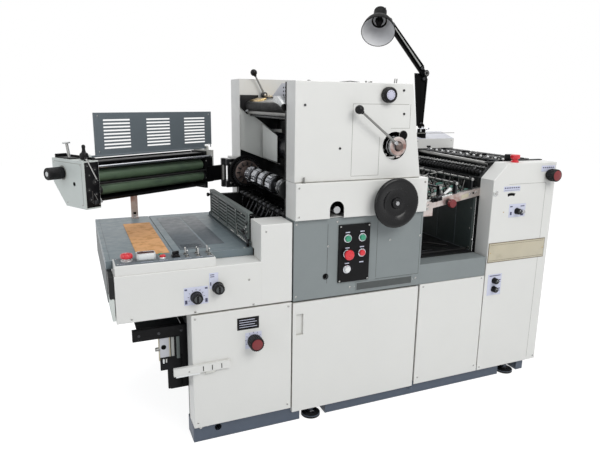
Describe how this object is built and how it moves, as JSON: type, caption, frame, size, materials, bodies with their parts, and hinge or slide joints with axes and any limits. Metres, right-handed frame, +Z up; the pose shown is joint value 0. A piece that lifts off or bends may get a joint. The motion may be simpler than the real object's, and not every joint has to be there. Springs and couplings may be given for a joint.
{
  "type": "sheet-fed offset printing press",
  "caption": "Floor-standing small sheet-fed offset press with a raised printing tower, feeder tower, delivery table, handwheel and an inking unit swung out on a rear hinge",
  "frame": {"origin": "On the floor, at the middle of the base's underside", "axes": "+X runs from the delivery end to the feeder end, +Y from the operator's side to the gear side, +Z up"},
  "size_m": [2.0551, 0.864, 1.6874],
  "materials": {
    "slate_paint": "satin slate blue-grey machine paint",
    "frame_steel": "grey machine paint on ground plate",
    "bright_steel": "turned and ground steel",
    "black_steel": "black enamel",
    "roller_rubber": "sage green roller rubber",
    "fountain_steel": "ground fountain blade and roller",
    "white_paint": "warm white powder coat",
    "grey_paint": "mid grey hammered paint",
    "kraft_card": "brown board",
    "pale_paint": "pale grey powder coat",
    "black_plastic": "black moulded plastic",
    "button_plastic": "coloured push buttons",
    "tape_cloth": "green woven tape"
  },
  "bodies": {
    "press": {"base_frame": "slate_paint", "front_side_frame": "frame_steel", "rear_side_frame": "frame_steel", "unit_bracket": "frame_steel", "inner_panel": "frame_steel", "pile_rails": "frame_steel", "pile_guide_plate": "frame_steel", "tie_bars": "bright_steel", "shaft_ends": "bright_steel", "rest_post": "bright_steel", "feeder_head": "black_steel", "wheel_bars": "black_steel", "register_rail": "black_steel", "lamp_base": "black_steel", "roller_train": "roller_rubber", "ink_fountain": "fountain_steel", "lower_left_cabinet": "white_paint", "lower_right_panel": "white_paint", "middle_cover": "white_paint", "upper_front_cover": "white_paint", "upper_rear_cover": "white_paint", "rear_lower_covers": "white_paint", "delivery_front_cover": "white_paint", "delivery_rear_cover": "white_paint", "feeder_front_cabinet": "white_paint", "feeder_rear_cabinet": "white_paint", "rear_box": "white_paint", "guide_bar": "white_paint", "grey_fascia": "grey_paint", "delivery_table": "grey_paint", "delivery_hood": "grey_paint", "register_board": "grey_paint", "table_insert": "kraft_card", "control_box": "pale_paint", "button_panel": "black_plastic", "feeder_controls": "black_plastic", "control_switches": "button_plastic", "push_buttons": "button_plastic", "feed_tapes": "tape_cloth"},
    "front_door": {"front_door": "white_paint"},
    "handwheel": {"handwheel": "black_plastic"},
    "numbering_shaft": {"numbering_shaft": "bright_steel"},
    "operating_lever": {"operating_lever": "bright_steel"},
    "dial_knob": {"dial_knob": "black_plastic"},
    "cabinet_knob": {"cabinet_knob": "black_plastic"},
    "feeder_knob": {"feeder_knob": "black_plastic"},
    "delivery_knob_left": {"delivery_knob_left": "black_plastic"},
    "delivery_knob_right": {"delivery_knob_right": "black_plastic"},
    "grille_guard": {"grille_guard": "grey_paint"},
    "fountain_lever": {"fountain_lever": "bright_steel"},
    "ink_unit": {"ink_unit_frame": "white_paint", "ink_unit_rollers": "roller_rubber"},
    "ink_unit_guard": {"ink_unit_guard": "grey_paint"},
    "ink_unit_knob": {"ink_unit_knob": "black_plastic"},
    "lamp_stem": {"lamp_stem": "black_steel"},
    "lamp_lower_arm": {"lamp_lower_arm": "black_steel"},
    "lamp_upper_arm": {"lamp_upper_arm": "black_steel"},
    "lamp_shade": {"lamp_shade": "black_steel"},
    "feed_pile_table": {"feed_pile_table": "black_steel"},
    "delivery_pile_lift": {"delivery_pile_lift": "black_steel"}
  },
  "joints": [
    {"name": "door_swing", "type": "hinge", "parent": "press", "child": "front_door", "pos_m": [0.1415, -0.3925, 0.274], "axis": [0, 0, 1], "range_deg": [0, 90]},
    {"name": "handwheel_turn", "type": "hinge", "parent": "press", "child": "handwheel", "pos_m": [-0.016, -0.42, 0.862], "axis": [0, 1, 0], "continuous": true},
    {"name": "numbering_turn", "type": "hinge", "parent": "press", "child": "numbering_shaft", "pos_m": [-0.383, 0, 0.906], "axis": [0, 1, 0], "continuous": true},
    {"name": "lever_swing", "type": "hinge", "parent": "press", "child": "operating_lever", "pos_m": [-0.002, -0.42, 1.07], "axis": [0, 1, 0], "range_deg": [-30, 20]},
    {"name": "dial_turn", "type": "hinge", "parent": "press", "child": "dial_knob", "pos_m": [-0.043, -0.41, 1.255], "axis": [0, 1, 0], "range_deg": [-150, 150]},
    {"name": "cabinet_knob_turn", "type": "hinge", "parent": "press", "child": "cabinet_knob", "pos_m": [-0.561, -0.42, 0.379], "axis": [0, 1, 0], "range_deg": [-150, 150]},
    {"name": "feeder_knob_turn", "type": "hinge", "parent": "press", "child": "feeder_knob", "pos_m": [0.794, -0.42, 0.931], "axis": [0, 1, 0], "range_deg": [-150, 150]},
    {"name": "delivery_knob_left_turn", "type": "hinge", "parent": "press", "child": "delivery_knob_left", "pos_m": [-0.765, -0.41, 0.571], "axis": [0, 1, 0], "range_deg": [-135, 135]},
    {"name": "delivery_knob_right_turn", "type": "hinge", "parent": "press", "child": "delivery_knob_right", "pos_m": [-0.689, -0.41, 0.596], "axis": [0, 1, 0], "range_deg": [-135, 135]},
    {"name": "grille_tip", "type": "hinge", "parent": "press", "child": "grille_guard", "pos_m": [-0.537, 0, 0.71], "axis": [0, 1, 0], "range_deg": [-80, 0]},
    {"name": "fountain_lever_swing", "type": "hinge", "parent": "press", "child": "fountain_lever", "pos_m": [-0.295, 0.24, 1.254], "axis": [0, 1, 0], "range_deg": [-20, 25]},
    {"name": "ink_unit_swing", "type": "hinge", "parent": "press", "child": "ink_unit", "pos_m": [-0.462, 0.352, 0.9], "axis": [0, 0, 1], "range_deg": [-25, 60]},
    {"name": "ink_guard_fold", "type": "hinge", "parent": "ink_unit", "child": "ink_unit_guard", "pos_m": [-0.46275, 0.3533, 1.017], "axis": [0.866, 0.5, 0], "range_deg": [-85, 0]},
    {"name": "ink_unit_knob_turn", "type": "hinge", "parent": "ink_unit", "child": "ink_unit_knob", "pos_m": [-1.1575, 0.0567, 0.956], "axis": [0.866, 0.5, 0], "range_deg": [-150, 150]},
    {"name": "lamp_swivel", "type": "hinge", "parent": "press", "child": "lamp_stem", "pos_m": [0.613, 0.306, 1.08], "axis": [0, 0, 1], "range_deg": [-60, 60]},
    {"name": "lamp_lower_tilt", "type": "hinge", "parent": "lamp_stem", "child": "lamp_lower_arm", "pos_m": [0.613, 0.306, 1.10693], "axis": [0, 1, 0], "range_deg": [-15, 15]},
    {"name": "lamp_elbow_bend", "type": "hinge", "parent": "lamp_lower_arm", "child": "lamp_upper_arm", "pos_m": [0.613, 0.306, 1.37793], "axis": [0, 1, 0], "range_deg": [-15, 30]},
    {"name": "lamp_head_tilt", "type": "hinge", "parent": "lamp_upper_arm", "child": "lamp_shade", "pos_m": [0.3823, 0.306, 1.6236], "axis": [0, 1, 0], "range_deg": [-30, 30]},
    {"name": "feed_pile_lift", "type": "slide", "parent": "press", "child": "feed_pile_table", "axis": [0, 0, 1], "range_m": [-0.2, 0.3]},
    {"name": "delivery_pile_travel", "type": "slide", "parent": "press", "child": "delivery_pile_lift", "axis": [0, 0, 1], "range_m": [-0.11, 0.06]}
  ],
  "couplings": [
    {"joint": "numbering_turn", "follows": "handwheel_turn", "ratio": 1}
  ]
}
